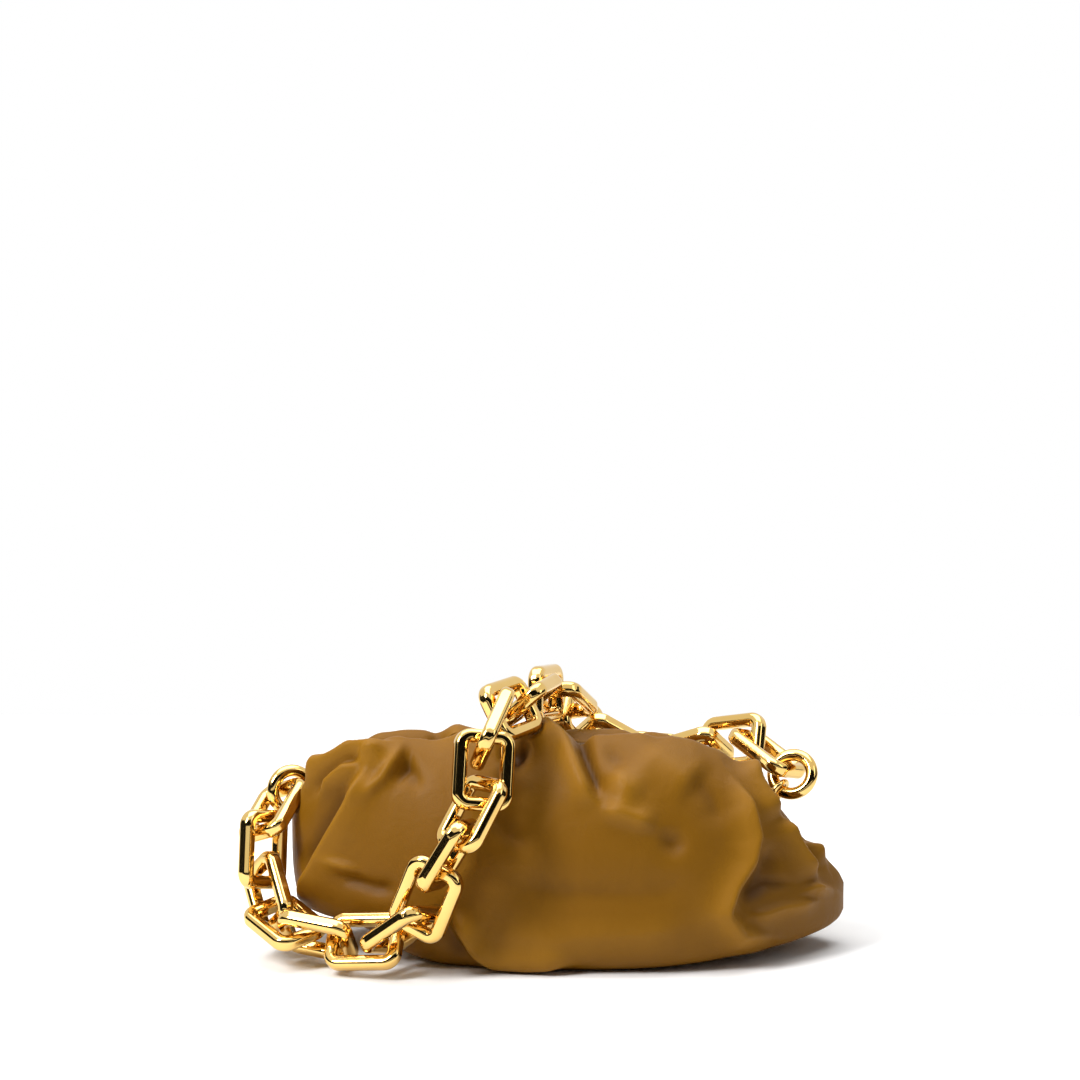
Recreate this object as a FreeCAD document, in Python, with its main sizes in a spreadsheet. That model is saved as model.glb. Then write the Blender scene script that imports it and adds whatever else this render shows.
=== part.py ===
import FreeCAD, Part
import Sketcher
import math
import os

V = FreeCAD.Vector

# Driving dimensions in millimetres and degrees, one cell each.
SIZES = [
    ("pouch_half_width", 160.0),
    ("pouch_half_depth", 74.0),
    ("pouch_height", 120.0),
    ("leather_wall", 2.0),
    ("lining_wall", 1.2),
    ("soft_gap", 0.4),
    ("rim_height", 84.0),
    ("mouth_gap", 17.0),
    ("frame_half", 114.0),
    ("hinge_height", 78.0),
    ("jaw_rise", 35.0),
    ("jaw_bar_height", 9.0),
    ("jaw_bar_depth", 4.0),
    ("jaw_leg_thick", 3.0),
    ("jaw_split", 3.4),
    ("eye_radius", 5.5),
    ("pin_radius", 2.0),
    ("pin_clear", 0.15),
    ("pin_head_radius", 4.0),
    ("pin_head_thick", 1.6),
    ("side_clear", 0.4),
    ("notch_clear", 3.0),
    ("shoulder_half", 92.0),
    ("sleeve_half", 86.0),
    ("sleeve_wall", 1.0),
    ("sleeve_clear", 0.3),
    ("magnet_radius", 3.0),
    ("magnet_thick", 1.8),
    ("magnet_spacing", 52.0),
    ("magnet_clear", 0.1),
    ("lug_eye_radius", 6.2),
    ("lug_wire", 3.2),
    ("ring_radius", 11.4),
    ("ring_wire", 7.0),
    ("link_length", 44.6),
    ("link_width", 34.0),
    ("link_bar", 7.8),
    ("link_depth", 8.6),
    ("link_corner", 9.4),
    ("link_inner_corner", 1.6),
    ("link_edge", 3.3),
    ("link_clear", 0.6),
]

doc = FreeCAD.newDocument("chain_shoulder_bag")
sheet = doc.addObject("Spreadsheet::Sheet", "Dimensions")
for row, (alias, value) in enumerate(SIZES, 1):
    sheet.set("A%d" % row, alias)
    sheet.set("B%d" % row, "%g" % value)
    sheet.setAlias("B%d" % row, alias)
doc.recompute()

made = []


def val(alias):
    return float(sheet.get(alias))


def cell(text):
    # Turns the names of sizes in an expression into references to the sheet.
    out = text
    for alias in sorted((a for a, v in SIZES), key=len, reverse=True):
        out = out.replace("<" + alias + ">", "Dimensions." + alias)
    return out


def unit(v):
    return V(v).multiply(1.0 / v.Length)


def axes_placement(origin, x_axis, y_axis, z_axis):
    m = FreeCAD.Matrix(
        x_axis.x, y_axis.x, z_axis.x, origin.x,
        x_axis.y, y_axis.y, z_axis.y, origin.y,
        x_axis.z, y_axis.z, z_axis.z, origin.z,
        0, 0, 0, 1)
    return FreeCAD.Placement(m)


def keep(obj, name):
    obj.Label = name
    made.append(obj)
    return obj


def primitive(kind, name, **exprs):
    obj = doc.addObject(kind, name)
    for prop, text in exprs.items():
        obj.setExpression(prop, cell(text))
    return obj


def box(name, x0, y0, z0, lx, ly, lz):
    obj = doc.addObject("Part::Box", name)
    obj.setExpression("Length", cell(lx))
    obj.setExpression("Width", cell(ly))
    obj.setExpression("Height", cell(lz))
    obj.setExpression("Placement.Base.x", cell(x0))
    obj.setExpression("Placement.Base.y", cell(y0))
    obj.setExpression("Placement.Base.z", cell(z0))
    return obj


def rod(name, axis, x0, y0, z0, radius, length):
    obj = doc.addObject("Part::Cylinder", name)
    obj.setExpression("Radius", cell(radius))
    obj.setExpression("Height", cell(length))
    obj.Placement = FreeCAD.Placement(V(0, 0, 0), FreeCAD.Rotation(V(0, 0, 1), axis))
    obj.setExpression("Placement.Base.x", cell(x0))
    obj.setExpression("Placement.Base.y", cell(y0))
    obj.setExpression("Placement.Base.z", cell(z0))
    return obj


def fuse(name, shapes):
    obj = doc.addObject("Part::MultiFuse", name)
    obj.Shapes = shapes
    return obj


def cut(name, base, tool):
    obj = doc.addObject("Part::Cut", name)
    obj.Base = base
    obj.Tool = tool
    return obj


# The pouch is a slumped loft. Each station gives its place along the width,
# the underside, the front and rear crest, and the front and rear half depth,
# as shares of the pouch's half width, height and half depth.
STATIONS = [
    (-0.846, 0.283, 0.725, 0.550, 0.149, 0.149),
    (-0.820, 0.250, 0.780, 0.600, 0.265, 0.257),
    (-0.763, 0.233, 0.858, 0.720, 0.419, 0.405),
    (-0.675, 0.200, 0.930, 0.885, 0.554, 0.554),
    (-0.575, 0.138, 0.985, 0.950, 0.649, 0.662),
    (-0.463, 0.045, 1.005, 0.983, 0.730, 0.743),
    (-0.344, -0.010, 1.000, 0.970, 0.811, 0.797),
    (-0.181, -0.020, 1.008, 0.965, 0.892, 0.838),
    (0.188, -0.020, 1.030, 0.965, 0.973, 0.905),
    (0.375, -0.020, 1.025, 0.950, 0.973, 0.892),
    (0.531, 0.010, 0.992, 0.925, 0.932, 0.824),
    (0.644, 0.035, 0.935, 0.825, 0.851, 0.743),
    (0.738, 0.048, 0.858, 0.680, 0.757, 0.662),
    (0.813, 0.062, 0.758, 0.560, 0.635, 0.568),
    (0.888, 0.077, 0.633, 0.483, 0.514, 0.446),
    (0.956, 0.095, 0.508, 0.433, 0.370, 0.324),
    (1.013, 0.115, 0.417, 0.383, 0.235, 0.203),
    (1.056, 0.140, 0.350, 0.342, 0.108, 0.100),
]
SIDE = [(0.80, 0.0), (0.965, 0.10), (1.0, 0.30), (0.92, 0.58), (0.68, 0.86), (0.34, 1.0)]


def section(x, low, front, rear, inset):
    # One closed section: a straight underside, a bulge on each side and a
    # shallow dip between the two crests.
    z0 = low + inset
    pts = []
    for way, (crest, half), points in ((-1, front, SIDE), (1, rear, SIDE[::-1])):
        h = crest - low - 2 * inset
        d = half - inset
        pts.extend(V(x, way * d * y, z0 + h * z) for y, z in points)
    top = (pts[len(SIDE) - 1].z + pts[len(SIDE)].z) / 2
    pts.insert(len(SIDE), V(x, 0, z0 + (top - z0) * 0.98))
    curve = Part.BSplineCurve()
    curve.interpolate(pts)
    base = Part.makeLine(pts[-1], pts[0])
    return Part.Wire([curve.toShape(), base])


def slab(x0, x1, y0, y1, z0, z1):
    return Part.makeBox(x1 - x0, y1 - y0, z1 - z0, V(x0, y0, z0))


FAR = 3 * val("pouch_half_width")


def slump(inset):
    # The solid of the slumped pouch, drawn in by an inset on every side and
    # flat where it lies on the floor.
    wires = []
    last = len(STATIONS) - 1
    high = val("pouch_height")
    deep = val("pouch_half_depth")
    for i, (fx, low, front, rear, front_half, rear_half) in enumerate(STATIONS):
        x = fx * val("pouch_half_width")
        if i == 0:
            x += inset
        if i == last:
            x -= inset
        wires.append(section(x, low * high, (front * high, front_half * deep),
                             (rear * high, rear_half * deep), inset))
    return Part.makeLoft(wires, True, False).common(slab(-FAR, FAR, -FAR, FAR, inset, FAR))


def soft(name, shape):
    obj = doc.addObject("Part::Feature", name)
    obj.Shape = shape
    obj.Placement = FreeCAD.Placement()
    return keep(obj, name)


rim = val("rim_height")
gap = val("soft_gap")
skin = slump(0.0).cut(slump(val("leather_wall")))

# Both ends are notched behind the front lobe, where the lugs come out.
notch_z = val("hinge_height") - val("eye_radius") - val("notch_clear")
notch_x = val("frame_half") + val("jaw_leg_thick") + val("notch_clear")
notch_y = val("eye_radius") + val("notch_clear")
notches = slab(-FAR, -notch_x, -notch_y, FAR, notch_z, FAR).fuse(slab(notch_x, FAR, -notch_y, FAR, notch_z, FAR))
below = slab(-FAR, FAR, -FAR, FAR, -FAR, rim)
soft("pouch_leather", skin.common(below).cut(notches))

# The mouth leather stands over the rim, front and rear, with the jaws between.
slit = val("mouth_gap") / 2
end = notch_x
above_front = slab(-end, end, -FAR, -slit, rim + gap, FAR)
above_rear = slab(-end, end, slit, FAR, rim + gap, FAR)
soft("front_mouth_leather", skin.common(above_front))
soft("rear_mouth_leather", skin.common(above_rear))

lining_out = slump(val("leather_wall") + gap)
lining_in = slump(val("leather_wall") + gap + val("lining_wall"))
lining_top = slab(-FAR, FAR, -FAR, FAR, -FAR, notch_z)
soft("lining", lining_out.cut(lining_in).common(lining_top))

# The frame: two U-shaped jaws that turn on the same pair of pins.
KNEE = "(1.5 * <eye_radius>)"
for side, sign, shift in (("front", -1, "0"), ("rear", 1, "(<jaw_leg_thick> + <side_clear>)")):
    reach = "(<frame_half> + %s)" % shift
    if sign < 0:
        y0 = "-<jaw_split> / 2 - <jaw_bar_depth>"
    else:
        y0 = "<jaw_split> / 2"
    top = "<hinge_height> + <jaw_rise>"
    shoulder = "(<shoulder_half> + %s)" % shift
    bar = box(side + "_bar", "-" + shoulder, y0, top + " - <jaw_bar_height>",
              "2 * " + shoulder, "<jaw_bar_depth>", "<jaw_bar_height>")
    pieces = [bar]
    for tag, at, up in (
        ("left", "-" + reach, "-" + shoulder),
        ("right", reach + " - <jaw_leg_thick>", shoulder + " - <jaw_leg_thick>"),
    ):
        # Each leg stands straight past its eye, then leans in to the bar.
        pieces.append(box(side + "_leg_" + tag, at, y0, "<hinge_height>",
                          "<jaw_leg_thick>", "<jaw_bar_depth>", KNEE))
        arm = primitive("Part::Wedge", side + "_arm_" + tag, Xmin=at, Xmax=at + " + <jaw_leg_thick>",
                        X2min=up, X2max=up + " + <jaw_leg_thick>", Ymin=KNEE, Ymax="<jaw_rise>",
                        Zmin="-(" + y0 + ") - <jaw_bar_depth>", Zmax="-(" + y0 + ")",
                        Z2min="-(" + y0 + ") - <jaw_bar_depth>", Z2max="-(" + y0 + ")")
        arm.Placement = FreeCAD.Placement(V(0, 0, 0), FreeCAD.Rotation(V(1, 0, 0), 90))
        arm.setExpression("Placement.Base.z", cell("<hinge_height>"))
        pieces.append(arm)
        pieces.append(rod(side + "_eye_" + tag, V(1, 0, 0), at, "0", "<hinge_height>",
                          "<eye_radius>", "<jaw_leg_thick>"))
    blank = fuse(side + "_blank", pieces)
    bores = [rod(side + "_bore", V(1, 0, 0), "-2 * <frame_half>", "0", "<hinge_height>",
                 "<pin_radius> + <pin_clear>", "4 * <frame_half>")]
    seats = []
    for k in (-1, 0, 1):
        if sign < 0:
            seat_y = "-<jaw_split> / 2 - <magnet_thick> - <magnet_clear>"
        else:
            seat_y = "<jaw_split> / 2"
        bores.append(rod("%s_seat_%d" % (side, k + 2), V(0, 1, 0), "%d * <magnet_spacing>" % k, seat_y,
                         top + " - <jaw_bar_height> / 2", "<magnet_radius> + <magnet_clear>",
                         "<magnet_thick> + <magnet_clear>"))
        disc_y = seat_y + " + <magnet_clear>" if sign < 0 else seat_y
        seats.append(rod("%s_magnet_%d" % (side, k + 2), V(0, 1, 0), "%d * <magnet_spacing>" % k, disc_y,
                         top + " - <jaw_bar_height> / 2", "<magnet_radius>", "<magnet_thick>"))
    keep(cut(side + "_jaw", blank, fuse(side + "_bores", bores)), side + "_jaw")
    keep(fuse(side + "_magnet_set", seats), side + "_magnets")

    # A leather sleeve wraps the bar of each jaw.
    grow = "(<sleeve_clear> + <sleeve_wall>)"
    sleeve_out = box(side + "_sleeve_out", "-<sleeve_half>", y0 + " - " + grow,
                     top + " - <jaw_bar_height> - " + grow, "2 * <sleeve_half>",
                     "<jaw_bar_depth> + 2 * " + grow, "<jaw_bar_height> + 2 * " + grow)
    sleeve_in = box(side + "_sleeve_in", "-2 * <sleeve_half>", y0 + " - <sleeve_clear>",
                    top + " - <jaw_bar_height> - <sleeve_clear>", "4 * <sleeve_half>",
                    "<jaw_bar_depth> + 2 * <sleeve_clear>", "<jaw_bar_height> + 2 * <sleeve_clear>")
    keep(cut(side + "_jaw_sleeve", sleeve_out, sleeve_in), side + "_jaw_sleeve")

# The hinge pins run through both eyes at each end and carry a head inside.
for tag, sign in (("left", -1), ("right", 1)):
    inner = "(<frame_half> - <jaw_leg_thick> - <side_clear>)"
    run = "(2 * <jaw_leg_thick> + 3 * <side_clear>)"
    turn = V(sign, 0, 0)
    s = "" if sign > 0 else "-"
    shank = rod(tag + "_shank", turn, s + inner, "0", "<hinge_height>", "<pin_radius>",
                run + " + <pin_head_thick>")
    head_in = rod(tag + "_head_in", V(-sign, 0, 0), s + inner, "0", "<hinge_height>",
                  "<pin_head_radius>", "<pin_head_thick>")
    head_out = rod(tag + "_head_out", turn, s + "(" + inner + " + " + run + ")", "0", "<hinge_height>",
                   "<pin_head_radius>", "<pin_head_thick>")
    keep(fuse(tag + "_pin", [shank, head_in, head_out]), tag + "_hinge_pin")

doc.recompute()

# Rings and lugs at the two ends of the frame.
pin_end = (val("frame_half") + val("jaw_leg_thick") + 2 * val("side_clear") + val("pin_head_thick"))
pin_z = val("hinge_height")
LUG_SEAT = 0.02
left_pin = V(-pin_end, 0, pin_z)
right_pin = V(pin_end, 0, pin_z)

# The left ring hangs beside its pin, and the first link pulls it along PULL.
LEFT_PULL = unit(V(-0.8, -0.45, -0.25))
LEFT_TWIST = math.radians(52)
left_centre = left_pin + V(-22, 10, 8)
square = unit(LEFT_PULL.cross(left_pin - left_centre))
left_normal = square * math.cos(LEFT_TWIST) + square.cross(LEFT_PULL) * math.sin(LEFT_TWIST)
ring_frames = {"left": (left_centre, LEFT_PULL, left_normal.cross(LEFT_PULL), left_normal)}


# The chain: links lie end in end along a draped route from ring to ring.
SEEN_FROM = unit(V(0, -1, 0.2))


def link_frame(along, roll):
    along = unit(along)
    face = unit(SEEN_FROM - along * SEEN_FROM.dot(along))
    turn = math.radians(roll)
    normal = face * math.cos(turn) + along.cross(face) * math.sin(turn)
    return along, normal.cross(along), normal


def bar_reach(way, along, normal):
    # How far a bar's rounded section reaches along a direction.
    ca = abs(way.dot(along))
    cn = abs(way.dot(normal))
    edge = val("link_edge")
    flat = (val("link_bar") / 2 - edge) * ca + (val("link_depth") / 2 - edge) * cn
    return flat + edge * math.hypot(ca, cn)


def loop_wire(centre, along, across, grow):
    half_l = (val("link_length") - val("link_bar")) / 2 + grow
    half_w = (val("link_width") - val("link_bar")) / 2 + grow
    r = val("link_corner") - val("link_bar") / 2 + grow
    pts = []
    for sx, sy, start in ((1, 1, 0), (-1, 1, 90), (-1, -1, 180), (1, -1, 270)):
        for step in (0, 45, 90):
            t = math.radians(start + step)
            pts.append(centre + along * (sx * (half_l - r) + r * math.cos(t))
                       + across * (sy * (half_w - r) + r * math.sin(t)))
    return Part.makePolygon(pts + [pts[0]])


def edge_wires(centre, along, across, normal):
    # The four lines that a link's rounded edges follow.
    grow = val("link_bar") / 2 - val("link_edge")
    lift = normal * (val("link_depth") / 2 - val("link_edge"))
    wires = []
    for side in (-1, 1):
        wires.append(loop_wire(centre + lift, along, across, side * grow))
        wires.append(loop_wire(centre - lift, along, across, side * grow))
    return Part.makeCompound(wires)


def ring_wire_line(centre, out, across):
    pts = []
    for step in range(24):
        t = math.radians(15 * step)
        pts.append(centre + (out * math.cos(t) + across * math.sin(t)) * val("ring_radius"))
    return Part.makePolygon(pts + [pts[0]])


BAR_ROUND = max(val("link_bar"), val("link_depth"))
PITCH = val("link_length") - val("link_bar")
WANT_CLEAR = val("link_clear") / 2


class Seat:
    # A piece of the chain already laid: its outgoing bar, its lines and their round.
    def __init__(self, bar, along, across, normal, reach, wire, thick, lines, round_r):
        self.bar = bar
        self.along = along
        self.across = across
        self.normal = normal
        self.reach = reach
        self.wire = wire
        self.thick = thick
        self.lines = lines
        self.round_r = round_r


def ring_seat(tag):
    centre, out, across, normal = ring_frames[tag]
    line = ring_wire_line(centre, out, across)
    return Seat(centre + out * val("ring_radius"), out, across, normal, "ring",
                line, val("ring_wire"), line, val("ring_wire") / 2)


def link_seat(centre, along, across, normal):
    return Seat(centre + along * (PITCH / 2), along, across, normal, "link",
                loop_wire(centre, along, across, 0), BAR_ROUND,
                edge_wires(centre, along, across, normal), val("link_edge"))


def start_bar(seat, frame, slack):
    along, across, normal = frame
    common = seat.across.cross(across)
    if common.Length < 0.2:
        common = V(seat.along)
    common = unit(common)
    lean = unit(seat.along + along)
    if seat.reach == "ring":
        first = val("ring_wire") / 2
    else:
        first = bar_reach(common, seat.along, seat.normal)
    need = first + bar_reach(common, along, normal) + val("link_clear")
    return seat.bar - lean * (need / max(abs(common.dot(lean)), 0.6) + slack)


ROLL_TRIES = (0, 9, -9, 18, -18, 27, -27, 40, -40)


def clearance(centre, frame, others):
    # How far a link stays from the floor and from the pieces before it.
    wire = loop_wire(centre, frame[0], frame[1], 0)
    rough = wire.BoundBox.ZMin - BAR_ROUND / 2
    for other in others:
        rough = min(rough, wire.distToShape(other.wire)[0] - (BAR_ROUND + other.thick) / 2)
    if rough < 0:
        return rough
    lines = edge_wires(centre, *frame)
    fine = lines.BoundBox.ZMin - val("link_edge")
    for other in others:
        fine = min(fine, lines.distToShape(other.lines)[0] - val("link_edge") - other.round_r)
    return fine


def aim_link(seat, aim, roll, slack):
    along = unit(aim - seat.bar + seat.along * val("link_bar"))
    for turn in range(4):
        frame = link_frame(along, roll)
        along = unit(aim - start_bar(seat, frame, slack))
    frame = link_frame(along, roll)
    return start_bar(seat, frame, slack) + frame[0] * (PITCH / 2), frame


def lay_link(seats, aim, roll, loose):
    # Aims a link at a point, and lets it slip back and roll until it is clear
    # of the pieces before it.
    best = None
    for more, k in [(more, k) for more in ROLL_TRIES for k in range(4)]:
        centre, frame = aim_link(seats[-1], aim, roll + more, loose + 0.8 * k)
        clear = clearance(centre, frame, seats[-4:])
        if best is None or clear > best[0]:
            best = (clear, centre, frame)
        if clear >= WANT_CLEAR:
            break
    return best


# Draped route and roll of each link, left end first: down the left side, along
# the floor in front, up the front and over the mouth to the rear.
RUN = [
    ((-158, -21, 66), 52, 0.8), ((-156, -21, 39), -51, 0), ((-147, -38, 22), 48, 0), ((-132, -55, 19), -46, 2.9),
    ((-107, -63, 17), 54, 1.9), ((-80, -71, 20), -30, 0), ((-64, -81, 36), 66, 2.1), ((-56, -84, 60), -16, 1.8),
    ((-42, -86, 83), 74, 0.2), ((-31, -75, 103), 130, 0), ((-30, -67, 128), 14, 1.8), ((-21, -45, 144), 90, 0),
    ((-8, -22, 142), -6, 1), ((0, 5, 142), 80, 0), ((10, 35, 138), 14, 0.5), ((20, 57, 122), 45, 0),
    ((34, 73, 103), -45, 0), ((58, 77, 91), 45, 0), ((84, 69, 93), -45, 0), ((106, 54, 105), 50, 0),
    ((127, 36, 110), -20, 0), ((147, 15, 93), -70, 0),
]
DRAPED_HINGE = 78.0
seats = [ring_seat("left")]
all_links = []
for (x, y, z), roll, loose in RUN:
    aim = V(x, y, z * val("hinge_height") / DRAPED_HINGE)
    clear, centre, frame = lay_link(seats, aim, roll, loose)
    all_links.append((centre, frame))
    seats.append(link_seat(centre, *frame))

# The right ring hangs in the last link, leaning up and turned towards the front.
RIGHT_TWIST = math.radians(20)
last = seats[-1]
right_pull = unit(V(0, 0, 0.35) - last.along)
flat_way = unit(last.normal - right_pull * last.normal.dot(right_pull))
right_across = flat_way * math.cos(RIGHT_TWIST) + right_pull.cross(flat_way) * math.sin(RIGHT_TWIST)
hold = val("ring_wire") / 2 + BAR_ROUND / 2 + val("link_clear")
right_centre = last.bar - right_pull * (val("ring_radius") - hold)
ring_frames["right"] = (right_centre, right_pull, right_across, right_pull.cross(right_across))

# Rings, and the lug at each hinge pin whose eye closes round its ring.
for tag, sign, pin in (("left", -1, left_pin), ("right", 1, right_pin)):
    centre, out, across, normal = ring_frames[tag]
    ring = primitive("Part::Torus", tag + "_torus", Radius1="<ring_radius>", Radius2="<ring_wire> / 2")
    ring.Placement = axes_placement(centre, out, across, normal)
    keep(ring, tag + "_ring")
    toward = pin - centre
    flat = unit(toward - normal * toward.dot(normal))
    grip = centre + flat * val("ring_radius")
    eye_shift = val("lug_eye_radius") - val("ring_wire") / 2 - val("lug_wire") / 2 - val("side_clear")
    eye_centre = grip + flat * eye_shift
    eye = primitive("Part::Torus", tag + "_lug_eye", Radius1="<lug_eye_radius>", Radius2="<lug_wire> / 2")
    eye.Placement = axes_placement(eye_centre, flat, normal, flat.cross(normal))
    root = eye_centre + flat * val("lug_eye_radius")
    foot = pin + V(sign * val("pin_head_thick"), 0, 0)
    stem = primitive("Part::Cylinder", tag + "_lug_stem", Radius="<lug_wire> * 0.44")
    stem.Height = (foot - root).Length
    stem.Placement = FreeCAD.Placement(root, FreeCAD.Rotation(V(0, 0, 1), foot - root))
    boss = primitive("Part::Cylinder", tag + "_lug_boss", Radius="<pin_head_radius>", Height="<pin_head_thick>")
    boss.Placement = FreeCAD.Placement(pin + V(sign * LUG_SEAT, 0, 0), FreeCAD.Rotation(V(0, 0, 1), V(sign, 0, 0)))
    keep(fuse(tag + "_lug_piece", [eye, stem, boss]), tag + "_lug")


def rectangle(sketch, name, length, width):
    n = sketch.GeometryCount
    pts = [V(-1, -1, 0), V(1, -1, 0), V(1, 1, 0), V(-1, 1, 0)]
    for i in range(4):
        sketch.addGeometry(Part.LineSegment(pts[i] * 10, pts[(i + 1) % 4] * 10), False)
    for i in range(4):
        sketch.addConstraint(Sketcher.Constraint("Coincident", n + i, 2, n + (i + 1) % 4, 1))
    for i in (0, 2):
        sketch.addConstraint(Sketcher.Constraint("Horizontal", n + i))
        sketch.addConstraint(Sketcher.Constraint("Vertical", n + i + 1))
    sketch.addConstraint(Sketcher.Constraint("Symmetric", n, 1, n + 2, 1, -1, 1))
    for i, text, tag in ((0, length, "length"), (1, width, "width")):
        k = sketch.addConstraint(Sketcher.Constraint("Distance", n + i, 20.0))
        sketch.renameConstraint(k, name + "_" + tag)
        sketch.setExpression("Constraints." + name + "_" + tag, cell(text))


def flat_edges(shape, half_length):
    # Upright edges of the blank, split into outer and inner corners.
    names = ([], [])
    for k, edge in enumerate(shape.Edges, 1):
        p, q = edge.Vertexes[0].Point, edge.Vertexes[-1].Point
        if abs(p.x - q.x) < 1e-6 and abs(p.y - q.y) < 1e-6:
            inner = abs(abs(p.x) - half_length) > 1e-3
            names[1 if inner else 0].append("Edge%d" % k)
    return names


def round_off(body, base, names, radius, tag):
    feature = body.newObject("PartDesign::Fillet", body.Name + tag)
    feature.Base = (base, names)
    feature.setExpression("Radius", cell(radius))
    doc.recompute()
    return feature


def link_body(name):
    body = doc.addObject("PartDesign::Body", name + "_body")
    sketch = body.newObject("Sketcher::SketchObject", name + "_outline")
    plane = [p for p in body.Origin.OriginFeatures if p.Role == "XY_Plane"][0]
    sketch.AttachmentSupport = [(plane, "")]
    sketch.MapMode = "FlatFace"
    rectangle(sketch, "outer", "<link_length>", "<link_width>")
    rectangle(sketch, "inner", "<link_length> - 2 * <link_bar>", "<link_width> - 2 * <link_bar>")
    pad = body.newObject("PartDesign::Pad", name + "_pad")
    pad.Profile = sketch
    pad.setExpression("Length", cell("<link_depth>"))
    pad.Midplane = True
    doc.recompute()
    outer_names, inner_names = flat_edges(pad.Shape, val("link_length") / 2)
    first = round_off(body, pad, outer_names, "<link_corner>", "_outer")
    outer_names, inner_names = flat_edges(first.Shape, val("link_length") / 2)
    inside = []
    half = val("link_length") / 2 - val("link_bar")
    for k, edge in enumerate(first.Shape.Edges, 1):
        p, q = edge.Vertexes[0].Point, edge.Vertexes[-1].Point
        upright = abs(p.x - q.x) < 1e-6 and abs(p.y - q.y) < 1e-6
        if upright and abs(abs(p.x) - half) < 1e-3:
            inside.append("Edge%d" % k)
    second = round_off(body, first, inside, "<link_inner_corner>", "_inner")
    faces = []
    for k, face in enumerate(second.Shape.Faces, 1):
        box_ = face.BoundBox
        if box_.ZLength < 1e-6:
            faces.append("Face%d" % k)
    third = round_off(body, second, faces, "<link_edge>", "_edges")
    body.Tip = third
    return body


for number, (centre, frame) in enumerate(all_links, 1):
    name = "chain_link_%02d" % number
    body = link_body(name)
    body.Placement = axes_placement(centre, frame[0], frame[1], frame[0].cross(frame[1]))
    keep(body, name)

doc.recompute()

wrong = []
for obj in doc.Objects:
    if "Invalid" in obj.State or "Error" in obj.State:
        wrong.append(obj.Name)
for obj in made:
    if obj.Shape.isNull() or not obj.Shape.isValid() or not obj.Shape.Solids:
        wrong.append(obj.Label)
if wrong:
    raise RuntimeError("not built: " + ", ".join(wrong))

os.makedirs("parts", exist_ok=True)
for obj in made:
    obj.Shape.exportStep("parts/" + obj.Label + ".step")
print("sub-parts:", len(made), "links:", len(all_links))
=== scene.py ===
# %% [markdown]
# # A slouchy leather pouch with a heavy gold chain
# The bag is a soft leather pouch, gathered onto a hinged frame that is hidden in its mouth, and a chain of chunky
# gold links lies over it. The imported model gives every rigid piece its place, so this lesson starts by loading it,
# and then dresses it: leather over the frame, a lining inside, polished metal on the chain, and a white studio.

import bpy
import bmesh
import math
import numpy as np
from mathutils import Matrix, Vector
from mathutils.bvhtree import BVHTree


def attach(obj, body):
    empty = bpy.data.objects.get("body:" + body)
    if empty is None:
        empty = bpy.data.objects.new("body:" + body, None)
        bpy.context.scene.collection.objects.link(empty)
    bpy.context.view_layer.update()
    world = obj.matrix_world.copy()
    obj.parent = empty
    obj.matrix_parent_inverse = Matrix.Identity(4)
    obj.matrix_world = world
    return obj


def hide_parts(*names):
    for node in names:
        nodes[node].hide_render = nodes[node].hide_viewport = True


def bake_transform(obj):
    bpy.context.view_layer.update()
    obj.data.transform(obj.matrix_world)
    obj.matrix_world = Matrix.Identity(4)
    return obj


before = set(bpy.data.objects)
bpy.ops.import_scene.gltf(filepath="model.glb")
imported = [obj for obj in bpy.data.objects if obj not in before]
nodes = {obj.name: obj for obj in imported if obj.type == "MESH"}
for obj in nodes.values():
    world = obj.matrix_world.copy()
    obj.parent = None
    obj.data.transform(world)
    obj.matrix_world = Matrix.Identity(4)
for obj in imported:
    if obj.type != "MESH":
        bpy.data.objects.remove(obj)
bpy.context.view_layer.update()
scene = bpy.context.scene
MM = 0.001

# %% [markdown]
# ## The camera
# The photograph was taken with a long lens, a little above the bag and straight in front of it. The camera could be
# placed by eye, but matching known points, such as the base line, both lower corners and the right ring, gives its
# place, pitch and lens in numbers. Later the same numbers tell where a point of the leather lands in the picture.

# %% Camera
CAMERA_AT = np.array([0.0, -1656.0, 442.0])
CAMERA_PITCH = math.radians(7.26)
FOCAL_PX = 2982.0
FRAME_PX = 1080.0
SENSOR_MM = 36.0

camera_data = bpy.data.cameras.new("bag_camera")
camera_data.sensor_width = SENSOR_MM
camera_data.lens = FOCAL_PX / FRAME_PX * SENSOR_MM
camera = bpy.data.objects.new("bag_camera", camera_data)
camera.location = Vector(CAMERA_AT * MM)
camera.rotation_euler = (math.pi / 2 - CAMERA_PITCH, 0, 0)
scene.collection.objects.link(camera)
scene.camera = camera


def picture_place(points):
    """Pixels at which points of the row frame, in millimetres, land in the photograph."""
    away = points - CAMERA_AT
    cos_p, sin_p = math.cos(CAMERA_PITCH), math.sin(CAMERA_PITCH)
    depth = away[:, 1] * cos_p - away[:, 2] * sin_p
    lift = away[:, 1] * sin_p + away[:, 2] * cos_p
    across = FRAME_PX / 2 + FOCAL_PX * away[:, 0] / depth
    down = FRAME_PX / 2 - FOCAL_PX * lift / depth
    return np.stack([across, down], axis=1)


print("lens %.1f mm" % camera_data.lens)

# %% [markdown]
# ## Shader maths as expressions
# A finish is easier to read as a formula than as a pile of nodes. This small class wraps a socket, so that plus,
# minus and times on two values add the Math node for it, and `node` makes any other node.


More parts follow.
